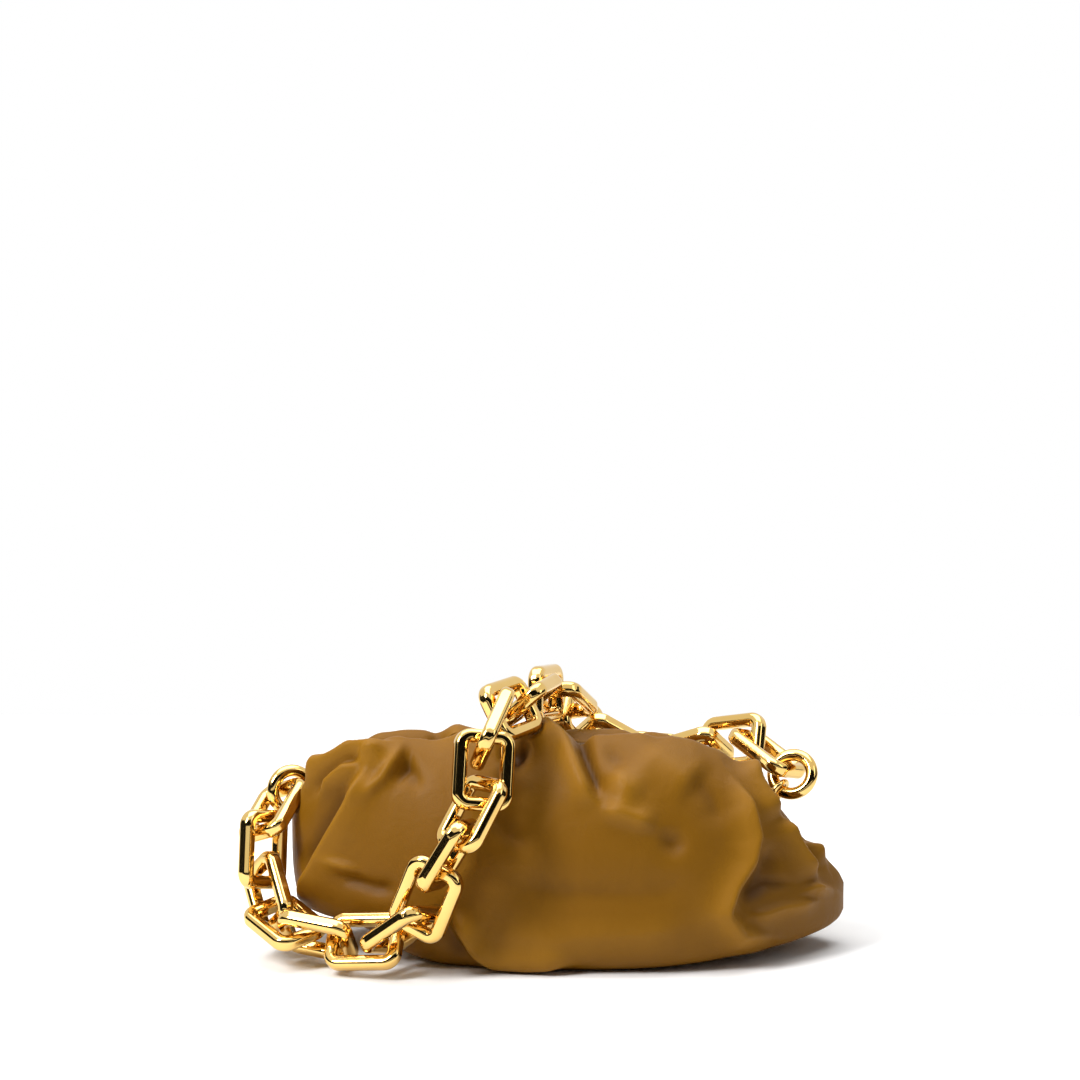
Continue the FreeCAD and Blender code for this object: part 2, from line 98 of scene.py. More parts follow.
# %% A socket that can be used in a formula
class Wire:
    """One output socket of a material, with arithmetic."""

    def __init__(self, tree, socket):
        self.tree = tree
        self.socket = socket

    def _math(self, kind, a, b):
        made = self.tree.nodes.new("ShaderNodeMath")
        made.operation = kind
        for slot, value in zip(made.inputs, (a, b)):
            if isinstance(value, Wire):
                self.tree.links.new(value.socket, slot)
            else:
                slot.default_value = value
        return Wire(self.tree, made.outputs[0])

    def __add__(self, other):
        return self._math("ADD", self, other)

    def __radd__(self, other):
        return self._math("ADD", other, self)

    def __sub__(self, other):
        return self._math("SUBTRACT", self, other)

    def __rsub__(self, other):
        return self._math("SUBTRACT", other, self)

    def __mul__(self, other):
        return self._math("MULTIPLY", self, other)

    def __rmul__(self, other):
        return self._math("MULTIPLY", other, self)

    def larger(self, other):
        return self._math("MAXIMUM", self, other)


class Finish:
    """A material with one Principled shader, and a method that makes its nodes."""

    def __init__(self, name, **constants):
        self.material = bpy.data.materials.new(name)
        self.material.use_nodes = True
        self.tree = self.material.node_tree
        self.shader = self.tree.nodes["Principled BSDF"]
        for key, value in constants.items():
            self.shader.inputs[key.replace("_", " ")].default_value = value

    def node(self, kind, settings=None, out=0, **sockets):
        made = self.tree.nodes.new(kind)
        for key, value in (settings or {}).items():
            if key == "stops":
                ramp = made.color_ramp.elements
                while len(ramp) < len(value):
                    ramp.new(0.5)
                for stop, (place, colour) in zip(ramp, value):
                    stop.position = place
                    stop.color = colour
            else:
                setattr(made, key, value)
        for key, value in sockets.items():
            # A socket is given by its name, or as i and its number where names repeat.
            by_number = key[0] == "i" and key[1:].isdigit()
            slot = made.inputs[int(key[1:]) if by_number else key.replace("_", " ")]
            if isinstance(value, Wire):
                self.tree.links.new(value.socket, slot)
            else:
                slot.default_value = value
        return Wire(self.tree, made.outputs[out])

    def feed(self, socket, wire):
        self.tree.links.new(wire.socket, self.shader.inputs[socket])

    def mix(self, factor, a, b):
        return self.node("ShaderNodeMix", {"data_type": "RGBA"}, out=2, i0=factor, i6=a, i7=b)


print("shader helper ready")

# %% [markdown]
# ## The shape of the pouch
# A full, slack pouch slumps: it stands wide on the floor, bulges low, and draws in to its mouth. Cloth simulation
# could find a slump, but not this one with its own folds, so the pouch is lofted instead: sections along its length
# say how low, high and deep it is, one outline is stretched into each, and the folds are pressed in afterwards.
# Front and rear are two panels, sewn along the bottom and the ends, and each is free at the mouth.

# %% Sections and outline
# Each row: x, underside, front crest, rear crest, front depth, rear depth, all in millimetres.
SECTIONS = np.array([
    (-140.5, 56, 74, 62, 0, 0), (-139.5, 44, 79, 63, 6, 6), (-137.0, 33, 86, 66, 13, 13),
    (-132.0, 26, 93, 72, 21, 20), (-122.0, 23, 102, 87, 31, 30), (-108.0, 21, 112, 109, 41, 41),
    (-92.0, 16, 119, 117, 48, 49), (-74.0, 6, 121, 119.5, 54, 55), (-55.0, 1, 120, 119.5, 60, 59),
    (-29.0, 0, 121, 119, 66, 62), (0.0, 0, 122, 119, 70, 66), (30.0, 0, 124, 119, 72, 67),
    (60.0, 1, 123.5, 117.5, 72, 66), (85.0, 3, 119.5, 112, 69, 61), (103.0, 5, 112.5, 100, 63, 55),
    (118.0, 6, 103, 82, 56, 49), (130.0, 7.5, 91, 67, 47, 42), (142.0, 9, 76, 58, 38, 33),
    (153.0, 11, 61, 52, 28, 24), (162.0, 13, 50, 46, 18, 15), (169.0, 16, 42, 41, 8, 7),
    (172.5, 20, 35, 35, 0, 0),
], dtype=float)
OUTLINE = np.array([
    (0.0, 0.0), (0.40, 0.0), (0.80, 0.0), (0.965, 0.10), (1.0, 0.30), (0.92, 0.58), (0.68, 0.86), (0.34, 1.0),
    (0.15, 0.965),
])
MOUTH_EDGE_Y = 7.8
MOUTH_EDGE_Z = 109.0
MOUTH_DROP = 8.0
FULL_DROP_DEPTH = 30.0
MOUTH_CURL = 1.6
MOUTH_HALF = 126.0
SHUT_OVER = 12.0
SHUT_BELOW = 3.0
COLUMNS = 300
ROWS = 150
MOUTH_ROWS = 12
AT_X, LOW, FRONT_CREST, REAR_CREST, FRONT_DEPTH, REAR_DEPTH = range(6)


def through(rows, places):
    """A smooth curve through rows of numbers, read at places from 0 to the last row."""
    last = len(rows) - 1
    i = np.clip(np.floor(places).astype(int), 0, last - 1)
    t = (places - i)[:, None]
    p0 = rows[np.clip(i - 1, 0, last)]
    p1 = rows[i]
    p2 = rows[i + 1]
    p3 = rows[np.clip(i + 2, 0, last)]
    return 0.5 * (2 * p1 + (p2 - p0) * t + (2 * p0 - 5 * p1 + 4 * p2 - p3) * t ** 2
                  + (3 * p1 - p0 - 3 * p2 + p3) * t ** 3)


def ramp(values, start, over):
    """A straight rise from 0 at start to 1 a stretch further on, or a fall to 0 at start where over is negative."""
    return np.clip((values - start) / over, 0, 1)


def panel_grid(side, inset=0.0):
    """Points of one panel, columns by rows, before any fold. side is -1 in front and 1 behind."""
    section = through(SECTIONS, np.linspace(0, len(SECTIONS) - 1, COLUMNS))
    crest_col, depth_col = (FRONT_CREST, FRONT_DEPTH) if side < 0 else (REAR_CREST, REAR_DEPTH)
    turn = ROWS - MOUTH_ROWS
    shape = through(OUTLINE, np.linspace(0, len(OUTLINE) - 1, turn))
    low = section[:, LOW] + inset
    high = np.maximum(section[:, crest_col] - inset, low + 1)
    depth = np.maximum(section[:, depth_col] - inset, 0)
    grid = np.zeros((COLUMNS, ROWS, 3))
    grid[:, :, 0] = section[:, AT_X][:, None]
    grid[:, :turn, 1] = side * depth[:, None] * shape[None, :, 0]
    grid[:, :turn, 2] = low[:, None] + (high - low)[:, None] * shape[None, :, 1]
    # The last rows turn down into the mouth, to the tape on the jaw.
    start = grid[:, turn - 1].copy()
    drop = MOUTH_DROP * ramp(depth, 0.0, FULL_DROP_DEPTH)
    edge_z = np.minimum(MOUTH_EDGE_Z, start[:, 2] - drop)
    edge_y = side * np.minimum(MOUTH_EDGE_Y, np.abs(start[:, 1]))
    # Past the frame the two panels are sewn together, so their edges meet on the middle plane.
    shut = ramp(np.abs(section[:, AT_X]), MOUTH_HALF, SHUT_OVER)
    lower_crest = np.minimum(section[:, FRONT_CREST], section[:, REAR_CREST])
    meet = np.maximum(lower_crest - inset - SHUT_BELOW, low)
    edge_y = edge_y * (1 - shut)
    edge_z = edge_z + (meet - edge_z) * shut
    for k in range(MOUTH_ROWS):
        t = (k + 1) / MOUTH_ROWS
        grid[:, turn + k, 1] = start[:, 1] + (edge_y - start[:, 1]) * (1 - (1 - t) ** 2)
        grid[:, turn + k, 2] = start[:, 2] + (edge_z - start[:, 2]) * t ** MOUTH_CURL
    return grid


def grid_normals(grid, side):
    """Outward normals of a panel's grid."""
    du = np.gradient(grid, axis=0)
    dv = np.gradient(grid, axis=1)
    normal = np.cross(du, dv) * -side
    size = np.linalg.norm(normal, axis=2, keepdims=True)
    return normal / np.maximum(size, 1e-6)


print("sections", len(SECTIONS), "from x", SECTIONS[0, 0], "to", SECTIONS[-1, 0])

# %% [markdown]
# ## Folds
# Each fold of the leather is drawn as a stroke over the picture: a line of points, how wide it is in pixels, and how
# far it lifts or sinks in millimetres. A point of the leather looks up where it lands in the picture and takes the
# height of the strokes near it. A ridge rises to a crest, a valley is its negative, and a lap is a fold of leather
# that swells softly on one side of its line and drops steeply on the other. Strokes fade at their ends.

# %% Fold strokes of the front
# Each stroke: kind, width in pixels, height in millimetres, then its points in pixels.
FRONT_FOLDS = [
    ("lap", 15, 5.5, [(520, 737), (548, 736), (566, 744), (578, 766), (589, 790), (600, 808)]),
    ("valley", 6, 4.5, [(576, 722), (583, 744), (590, 768), (597, 788), (606, 800)]),
    ("lap", 13, 4.0, [(660, 829), (634, 821), (611, 814), (598, 804)]),
    ("ridge", 15, 4.0, [(612, 766), (624, 788), (646, 802)]),
    ("ridge", 9, 3.5, [(500, 742), (524, 736), (548, 738)]),
    ("valley", 11, 8.0, [(498, 756), (514, 750), (532, 749)]),
    ("valley", 11, 2.6, [(656, 834), (674, 844), (690, 852)]),
    ("lap", 13, 5.5, [(299, 910), (309, 882), (322, 853), (340, 822), (356, 792), (372, 764)]),
    ("valley", 10, 3.0, [(350, 782), (333, 812), (315, 846), (302, 876)]),
    ("lap", 8, 2.5, [(322, 855), (337, 861), (366, 874)]),
    ("valley", 7, 2.5, [(330, 872), (346, 879), (376, 888), (402, 888)]),
    ("lap", 12, 6.0, [(300, 784), (318, 772), (336, 763), (356, 752), (376, 750), (396, 744)]),
    ("lap", 8, 3.0, [(356, 766), (372, 756), (392, 752)]),
    ("lap", 9, 4.5, [(446, 722), (454, 733), (476, 739)]),
    ("valley", 9, 2.2, [(400, 752), (412, 770), (420, 796)]),
    ("lap", 14, 5.0, [(728, 772), (745, 804), (754, 838), (750, 865), (734, 890), (725, 912), (740, 931),
                      (776, 937)]),
    ("valley", 14, 3.0, [(776, 840), (770, 866), (752, 892), (746, 912)]),
    ("lap", 10, 5.0, [(742, 754), (752, 771), (767, 803), (779, 822)]),
    ("valley", 5, 3.5, [(752, 762), (762, 784), (776, 808)]),
    ("lap", 10, 5.0, [(777, 814), (793, 839), (807, 862), (816, 880)]),
    ("valley", 5, 3.5, [(788, 822), (802, 846), (816, 868)]),
    ("lap", 8, 3.0, [(796, 894), (812, 885), (836, 891)]),
    ("lap", 14, 5.0, [(580, 960), (530, 964), (492, 962), (471, 948), (456, 926), (446, 904)]),
    ("valley", 11, 3.5, [(436, 900), (446, 926), (460, 950), (476, 968)]),
    ("valley", 26, 1.6, [(500, 880), (560, 894), (640, 896), (700, 884)]),
    ("ridge", 22, 1.6, [(480, 932), (560, 938), (650, 934), (700, 924)]),
    ("valley", 12, 1.8, [(470, 800), (500, 820), (520, 850)]),
    ("valley", 10, 2.2, [(608, 738), (614, 754), (626, 772)]),
    ("ridge", 22, 2.2, [(644, 742), (668, 766), (700, 792)]),
    ("valley", 16, 1.6, [(690, 770), (716, 800), (726, 830)]),
    ("lap", 7, 3.0, [(318, 800), (330, 782), (348, 770), (368, 764)]),
    ("valley", 5, 3.5, [(310, 796), (326, 778), (346, 764), (372, 756)]),
    ("lap", 7, 2.6, [(404, 742), (398, 760), (384, 780), (364, 800)]),
    ("valley", 5, 2.6, [(412, 744), (406, 766), (392, 790)]),
    ("valley", 5, 3.2, [(768, 778), (784, 800), (800, 826), (812, 846)]),
    ("lap", 8, 3.0, [(800, 838), (816, 848), (826, 866)]),
    ("valley", 6, 2.6, [(746, 902), (770, 884), (800, 884)]),
    ("lap", 9, 2.6, [(746, 918), (780, 906), (820, 900)]),
]
LAP_STEEP = 0.32
CREST_SHARP = 1.4
FOLD_FADE = 0.22
FADE_PX = 22.0
FADE_LEFT = 0.12
FOLD_GAIN = 1.9
# Pleats at the mouth: length and height of each wave in millimetres, and how far they lean.
PLEATS = ((41.0, 0.7), (23.0, 0.5), (14.0, 0.25))
PLEAT_TURN = 6.28
PLEAT_LEAN = 0.6
PLEAT_SWAY = 12.0
PLEAT_MIDDLE = 0.8
# Where the pleats start and stop, up the panel as a share of its rows and along it in millimetres.
PLEAT_START, PLEAT_STOP = (0.62, 0.25), (1.02, -0.1)
PLEAT_LEFT, PLEAT_RIGHT = (-136.0, 14.0), (160.0, -16.0)


def stroke_height(place, stroke):
    """Height that one stroke adds at each place in the picture."""
    kind, width, height, line = stroke
    line = np.array(line, dtype=float)
    runs = np.linalg.norm(np.diff(line, axis=0), axis=1)
    total = runs.sum()
    nearest = np.full(len(place), 1e9)
    along = np.zeros(len(place))
    hand = np.zeros(len(place))
    before = 0.0
    for a, b, run in zip(line[:-1], line[1:], runs):
        t = np.clip(((place - a) @ (b - a)) / run ** 2, 0, 1)
        gap = np.linalg.norm(place - (a + t[:, None] * (b - a)), axis=1)
        closer = gap < nearest
        nearest = np.where(closer, gap, nearest)
        along = np.where(closer, (before + t * run) / total, along)
        way = b - a
        turn = way[0] * (place[:, 1] - a[1]) - way[1] * (place[:, 0] - a[0])
        hand = np.where(closer, turn, hand)
        before += run
    fade = min(0.5, max(FOLD_FADE, FADE_PX / total))
    ends = np.clip(np.minimum(along, 1 - along) / fade, 0, 1)
    ends = FADE_LEFT + (1 - FADE_LEFT) * ends * ends * (3 - 2 * ends)
    reach = np.full(len(place), float(width))
    if kind == "lap":
        reach = np.where(hand < 0, width * LAP_STEEP, width)
    rise = np.exp(-(nearest / reach) ** CREST_SHARP) * ends
    return FOLD_GAIN * rise * (-height if kind == "valley" else height)


def gathers(grid, seed):
    """Small pleats that run down from the mouth and fade out below it."""
    x = grid[:, :, 0]
    row = np.linspace(0, 1, ROWS)[None, :]
    reach = ramp(row, *PLEAT_START) * ramp(row, *PLEAT_STOP)
    rng = np.random.default_rng(seed)
    pleats = np.zeros_like(x)
    for length, height in PLEATS:
        shift = rng.uniform(0, PLEAT_TURN)
        sway = rng.uniform(-PLEAT_LEAN, PLEAT_LEAN) * PLEAT_SWAY * (row - PLEAT_MIDDLE)
        pleats += height * np.sin((x + sway) * 2 * math.pi / length + shift)
    return pleats * reach * ramp(x, *PLEAT_LEFT) * ramp(x, *PLEAT_RIGHT)


print("front folds", len(FRONT_FOLDS))

# %% [markdown]
# The rear isn't in the picture. The same leather on the same frame gathers in the same way, so the rear gets strokes
# of its own, drawn as if its panel stood in front, with a few broad folds and a slack hollow under the chain. All the
# strokes of a panel are added up, kept from going too deep, softened a little and pressed into it.

# %% Fold strokes of the rear
REAR_FOLDS = [
    ("valley", 9, 4.5, [(430, 738), (440, 764), (452, 792), (470, 816)]),
    ("ridge", 12, 3.5, [(448, 736), (460, 764), (476, 794)]),
    ("valley", 8, 4.0, [(640, 742), (632, 770), (618, 800), (596, 826)]),
    ("ridge", 12, 3.5, [(655, 748), (648, 780), (634, 812)]),
    ("ridge", 16, 4.0, [(345, 780), (330, 812), (326, 850), (340, 890)]),
    ("valley", 12, 4.0, [(318, 800), (306, 830), (306, 866)]),
    ("valley", 9, 4.0, [(742, 772), (756, 800), (768, 834)]),
    ("ridge", 12, 3.5, [(722, 770), (738, 806), (748, 846)]),
    ("valley", 24, 1.5, [(420, 880), (520, 892), (640, 884)]),
    ("ridge", 24, 1.5, [(430, 922), (540, 934), (660, 924)]),
    ("valley", 12, 3.0, [(530, 752), (536, 784), (528, 816)]),
]
DEEPEST = 9.5
SOFTEN_PASSES = 1
# Where folds start and stop, up the panel as a share of its rows.
FOLD_START, FOLD_STOP = (0.22, 0.12), (0.985, -0.06)
THIN_DEPTH = 10.0
TAPE_GAP = 1.0
FLOOR_GAP = 0.3


def softened(field):
    """A field of heights, with each point drawn towards its neighbours along both ways of the grid."""
    for _ in range(SOFTEN_PASSES):
        for axis in (0, 1):
            ends = np.pad(field, [(1, 1) if k == axis else (0, 0) for k in (0, 1)], mode="edge")
            before, after = (ends[:-2], ends[2:]) if axis == 0 else (ends[:, :-2], ends[:, 2:])
            field = 0.25 * before + 0.5 * field + 0.25 * after
    return field


def folded_panel(side, folds, seed):
    """A panel's grid with its folds and pleats pressed in, and how deep each point lies in a fold."""
    grid = panel_grid(side)
    normal = grid_normals(grid, side)
    flat = grid.reshape(-1, 3).copy()
    if side > 0:
        flat[:, 1] *= -1
    place = picture_place(flat)
    height = np.zeros(len(flat))
    for stroke in folds:
        height += stroke_height(place, stroke)
    height = height.reshape(COLUMNS, ROWS)
    # Folds stop at the sewn bottom and at the mouth, and die out under the bag.
    row = np.linspace(0, 1, ROWS)[None, :]
    hold = ramp(row, *FOLD_START) * ramp(row, *FOLD_STOP)
    thin = ramp(np.abs(grid[:, :, 1]), 0.0, THIN_DEPTH)
    height = height * hold * thin + gathers(grid, seed)
    height = softened(np.maximum(height, -DEEPEST))
    moved = grid + normal * height[:, :, None]
    # No valley reaches in as far as the tape on the jaw.
    least = np.minimum(MOUTH_EDGE_Y + TAPE_GAP, np.abs(grid[:, :, 1]))
    moved[:, :, 1] = side * np.maximum(side * moved[:, :, 1], least)
    moved[:, :, 2] = np.maximum(moved[:, :, 2], FLOOR_GAP)
    return moved, height


print("rear folds", len(REAR_FOLDS))

# %% [markdown]
# ## The leather panels
# A panel becomes a mesh of quads, and a Solidify modifier gives it the thickness of a nappa hide. The depth of each
# fold is kept on the mesh as a colour attribute, so that the finish can paint shade into the valleys and a painted
# highlight onto the ridges. Where the chain presses on the leather, points too near a link are pushed in.

# %% Leather meshes
LEATHER_THICK = 1.4 * MM
CHAIN_GAP = 2.2
END_GAP = 1.6
END_FROM_X = -100.0
SEARCH = 8 * MM
TONE_DEPTH = 14.0
WELD = 0.02 * MM
chain_nodes = [o for name, o in nodes.items() if name.startswith("chain_link")]
hardware = chain_nodes + [nodes[n] for n in ("left_ring", "right_ring", "left_lug", "right_lug")]


def surface_tree(objects):
    """One search tree over the meshes of several objects."""
    points, faces = [], []
    for o in objects:
        base = len(points)
        points += [o.matrix_world @ v.co for v in o.data.vertices]
        faces += [[base + i for i in p.vertices] for p in o.data.polygons]
    return BVHTree.FromPolygons(points, faces)


def press_in(grid, normal, tree):
    """Pushes points that come too near the chain inwards, and returns how many were pushed."""
    pushed = 0
    for i in range(grid.shape[0]):
        reach = (END_GAP if grid[i, 0, 0] < END_FROM_X else CHAIN_GAP) * MM
        for j in range(grid.shape[1]):
            point = Vector(grid[i, j] * MM)
            out = Vector(normal[i, j])
            hit = tree.find_nearest(point, SEARCH)
            if hit[0] is None:
                continue
            inside = (point - hit[0]).dot(hit[1]) < 0
            gap = -hit[3] if inside else hit[3]
            if gap < reach:
                grid[i, j] -= np.array(out) * (reach - gap) / MM
                pushed += 1
    return pushed


def panel_mesh(name, grid, depth, side):
    """An object with one quad between each four points of a panel's grid."""
    mesh = bpy.data.meshes.new(name)
    points = (grid.reshape(-1, 3) * MM).tolist()
    faces = []
    for i in range(COLUMNS - 1):
        for j in range(ROWS - 1):
            a, b = i * ROWS + j, (i + 1) * ROWS + j
            quad = (a, b, b + 1, a + 1)
            faces.append(quad if side < 0 else quad[::-1])
    mesh.from_pydata(points, [], faces)
    # The fold depth is kept for painted light: painted shade in the valleys and a painted highlight on the ridges.
    tone = mesh.attributes.new("fold_depth", "FLOAT", "POINT")
    tone.data.foreach_set("value", np.clip(0.5 + depth.reshape(-1) / TONE_DEPTH, 0, 1).astype(np.float32))
    work = bmesh.new()
    work.from_mesh(mesh)
    bmesh.ops.remove_doubles(work, verts=work.verts, dist=WELD)
    bmesh.ops.dissolve_degenerate(work, edges=work.edges, dist=WELD)
    work.to_mesh(mesh)
    work.free()
    mesh.shade_smooth()
    made = bpy.data.objects.new(name, mesh)
    scene.collection.objects.link(made)
    return made


chain_tree = surface_tree(hardware)
panels = {}
for name, side, folds, seed in (("front_leather", -1, FRONT_FOLDS, 3), ("rear_leather", 1, REAR_FOLDS, 8)):
    grid, depth = folded_panel(side, folds, seed)
    pushed = press_in(grid, grid_normals(grid, side), chain_tree)
    panels[name] = panel_mesh(name, grid, depth, side)
    print(name, "points", len(panels[name].data.vertices), "pressed in", pushed)

# %% [markdown]
# ## Leather finish
# Smooth nappa has a very fine grain, a soft satin sheen, and a colour that wanders a little at random. Over that,
# the folds get painted light: a warmer, lighter painted highlight on each ridge, and darker, browner painted shade in
# each valley. Fine cells make the grain in the bump only.

# %% Leather finish
# Mid is the leather's own colour. Light is a painted highlight on the ridges and dark is painted shade in the
# valleys, and the random mottle reaches both.
LEATHER_MID = (0.172, 0.072, 0.0020, 1)
LEATHER_HIGHLIGHT_AND_LIGHT_MOTTLE = (0.240, 0.106, 0.0050, 1)
LEATHER_SHADE_AND_DARK_MOTTLE = (0.070, 0.026, 0.0010, 1)
TAPER_LENGTH = 14 * MM
TAPER_FROM = 0.15
THINNEST = 0.04
leather = Finish("caramel_nappa", Roughness=0.46, Specular_IOR_Level=0.13)
spot = leather.node("ShaderNodeTexCoord", out=3)
fold_depth = leather.node("ShaderNodeAttribute", {"attribute_name": "fold_depth"}, out=2)
cloud = leather.node("ShaderNodeTexNoise", Vector=spot, Scale=14.0, Detail=5.0, Roughness=0.6)
mottle = leather.node("ShaderNodeTexNoise", Vector=spot, Scale=90.0, Detail=4.0, Roughness=0.6)
grain = leather.node("ShaderNodeTexVoronoi", {"feature": "DISTANCE_TO_EDGE"}, Vector=spot, Scale=900.0)
pores = leather.node("ShaderNodeTexNoise", Vector=spot, Scale=1500.0, Detail=2.0)
# Tone is the painted fold light from the mesh plus random mottle: low tone gets painted shade, high tone a painted
# highlight.
tone = fold_depth + (cloud - 0.5) * 0.30 + (mottle - 0.5) * 0.16
shade_and_mottle_mask = leather.node("ShaderNodeMapRange", i0=tone, i1=-0.05, i2=0.40)
highlight_and_mottle_mask = leather.node("ShaderNodeMapRange", i0=tone, i1=0.50, i2=0.90)
body = leather.mix(shade_and_mottle_mask, LEATHER_SHADE_AND_DARK_MOTTLE, LEATHER_MID)
leather.feed("Base Color", leather.mix(highlight_and_mottle_mask, body, LEATHER_HIGHLIGHT_AND_LIGHT_MOTTLE))
leather.feed("Roughness", 0.40 + cloud * 0.12 + mottle * 0.06)
relief = leather.node("ShaderNodeMapRange", i0=grain, i1=0.0, i2=0.25) + pores * 0.5
creases = leather.node("ShaderNodeTexNoise", Vector=spot, Scale=75.0, Detail=4.0, Roughness=0.55, Distortion=0.8)
soft_bump = leather.node("ShaderNodeBump", Strength=0.40, Distance=0.0012, Height=creases)
fine_bump = leather.node("ShaderNodeBump", Strength=0.12, Distance=0.0004, Height=relief, Normal=soft_bump)
leather.feed("Normal", fine_bump)
print("leather finish ready")

# %% [markdown]
# The hide thins out towards both ends, where the two panels are pressed together in the seam. A vertex group gives
# the share of the full thickness at each point, and the Solidify modifier reads it.

# %% Leather thickness
for name, panel in panels.items():
    panel.data.materials.append(leather.material)
    full = panel.vertex_groups.new(name="full_thickness")
    for v in panel.data.vertices:
        room = min(v.co.x - SECTIONS[0, 0] * MM, SECTIONS[-1, 0] * MM - v.co.x)
        full.add([v.index], min(1.0, max(0.0, room / TAPER_LENGTH - TAPER_FROM)), "REPLACE")
    thick = panel.modifiers.new("hide", "SOLIDIFY")
    thick.thickness = LEATHER_THICK
    thick.offset = -1
    thick.vertex_group = "full_thickness"
    thick.thickness_vertex_group = THINNEST
print("leather on", list(panels))

# %% [markdown]
# ## The leather stands in for the model's soft pieces
# When the mouth opens, the gathered leather at the top goes with the jaws and the body of the pouch stays. Here each
# panel is only fixed in place in the world, and the imported soft leather that it stands in for is hidden.

# %% Place the panels
for name, side, body_name, soft_node in (
    ("front_leather", -1, "front_frame", "front_mouth_leather"),
    ("rear_leather", 1, "rear_frame", "rear_mouth_leather"),
):
    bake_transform(panels[name])
    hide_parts(soft_node)
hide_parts("pouch_leather")

# %% [markdown]
# ## The lining
# Inside, the pouch is lined with thin suede in the same brown. It is the same loft, drawn in by the thickness of the
# leather, without the sharp folds, and it ends below the hinge, where it is sewn to the leather.

# %% Lining
LINING_INSET = 12.0
LINING_TOP = 76.0
LINING_THICK = 0.8 * MM
LINING_WELD = 0.4 * MM
LINING_STEP = 3
# Columns left out at the left and right end, and rows left out at the mouth.
LINING_LEFT, LINING_RIGHT, LINING_MOUTH = 10, 14, 14
lining_mesh = bpy.data.meshes.new("bag_lining")
work = bmesh.new()
for side in (-1, 1):
    grid = panel_grid(side, LINING_INSET)
    grid = grid[LINING_LEFT:COLUMNS - LINING_RIGHT:LINING_STEP, :ROWS - LINING_MOUTH:LINING_STEP]
    made = {}
    for i in range(grid.shape[0]):
        for j in range(grid.shape[1]):
            point = grid[i, j].copy()
            point[2] = min(point[2], LINING_TOP)
            made[i, j] = work.verts.new(Vector(point * MM))
    for i in range(grid.shape[0] - 1):
        for j in range(grid.shape[1] - 1):
            quad = [made[i, j], made[i + 1, j], made[i + 1, j + 1], made[i, j + 1]]
            if min(v.co.z for v in quad) > (LINING_TOP - 0.5) * MM:
                continue
            work.faces.new(quad if side < 0 else quad[::-1])
loose = [v for v in work.verts if not v.link_faces]
bmesh.ops.delete(work, geom=loose, context="VERTS")
bmesh.ops.remove_doubles(work, verts=work.verts, dist=LINING_WELD)
bmesh.ops.recalc_face_normals(work, faces=work.faces)
work.to_mesh(lining_mesh)
work.free()
lining_mesh.shade_smooth()
lining = bpy.data.objects.new("bag_lining", lining_mesh)
scene.collection.objects.link(lining)
backing = lining.modifiers.new("cloth", "SOLIDIFY")
backing.thickness = LINING_THICK
backing.offset = 0
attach(lining, "pouch")
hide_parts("lining")
print("lining points", len(lining_mesh.vertices))

# %% [markdown]
# Suede has no gloss. Its nap lies in patches that are lighter or darker, and short fibres give it a fine relief.

# %% Suede finish
SUEDE_DARK = (0.10, 0.05, 0.018, 1)
SUEDE_LIGHT = (0.21, 0.115, 0.045, 1)
suede = Finish("brown_suede", Roughness=0.92, Specular_IOR_Level=0.2, Sheen_Weight=0.35, Sheen_Roughness=0.6)
spot = suede.node("ShaderNodeTexCoord", out=3)
nap = suede.node("ShaderNodeTexNoise", Vector=spot, Scale=60.0, Detail=6.0, Roughness=0.7)
fibre = suede.node("ShaderNodeTexNoise", Vector=spot, Scale=1400.0, Detail=2.0)
suede.feed("Base Color", suede.mix(nap, SUEDE_DARK, SUEDE_LIGHT))
suede.feed("Normal", suede.node("ShaderNodeBump", Strength=0.25, Distance=0.0005, Height=fibre))
lining_mesh.materials.append(suede.material)
print("lining in suede")

# %% [markdown]
# ## Polished gold
# The links, rings and lugs are solid pieces with the right shape already, so they keep their meshes and get a finish:
# a bright yellow-gold plating, nearly a mirror, with faint streaks left by the polishing wheel.

# %% Gold finish
GOLD_WARM = (0.70, 0.43, 0.11, 1)
GOLD_PALE = (0.82, 0.58, 0.22, 1)
gold = Finish("polished_gold", Metallic=1.0, Roughness=0.1)
spot = gold.node("ShaderNodeTexCoord", out=3)
haze = gold.node("ShaderNodeTexNoise", Vector=spot, Scale=45.0, Detail=3.0)
wipe = gold.node("ShaderNodeTexNoise", Vector=spot, Scale=420.0, Detail=2.0)
gold.feed("Base Color", gold.mix(haze, GOLD_WARM, GOLD_PALE))
gold.feed("Roughness", 0.045 + haze * 0.05 + wipe * 0.02)
gold.feed("Normal", gold.node("ShaderNodeBump", Strength=0.02, Distance=0.0005, Height=haze))
for o in hardware:
    o.data.materials.clear()
    o.data.materials.append(gold.material)
print("gold pieces", len(hardware))

# %% [markdown]
# ## The hidden frame
# The jaws are satin steel, each in a woven tape that the leather is sewn to, with small plated magnets let into it.

# %% Frame finishes
STEEL_DARK = (0.42, 0.42, 0.43, 1)
STEEL_LIGHT = (0.60, 0.60, 0.61, 1)
TAPE_DARK = (0.060, 0.034, 0.016, 1)
TAPE_LIGHT = (0.13, 0.075, 0.034, 1)
PLATE_DARK = (0.58, 0.58, 0.60, 1)
PLATE_LIGHT = (0.75, 0.75, 0.77, 1)
steel = Finish("satin_steel", Metallic=1.0, Roughness=0.35)
spot = steel.node("ShaderNodeTexCoord", out=3)
brushed = steel.node("ShaderNodeTexNoise", Vector=spot, Scale=300.0, Detail=4.0)
steel.feed("Base Color", steel.mix(brushed, STEEL_DARK, STEEL_LIGHT))
steel.feed("Roughness", 0.28 + brushed * 0.16)
tape = Finish("woven_tape", Roughness=0.9, Specular_IOR_Level=0.2)
spot = tape.node("ShaderNodeTexCoord", out=3)
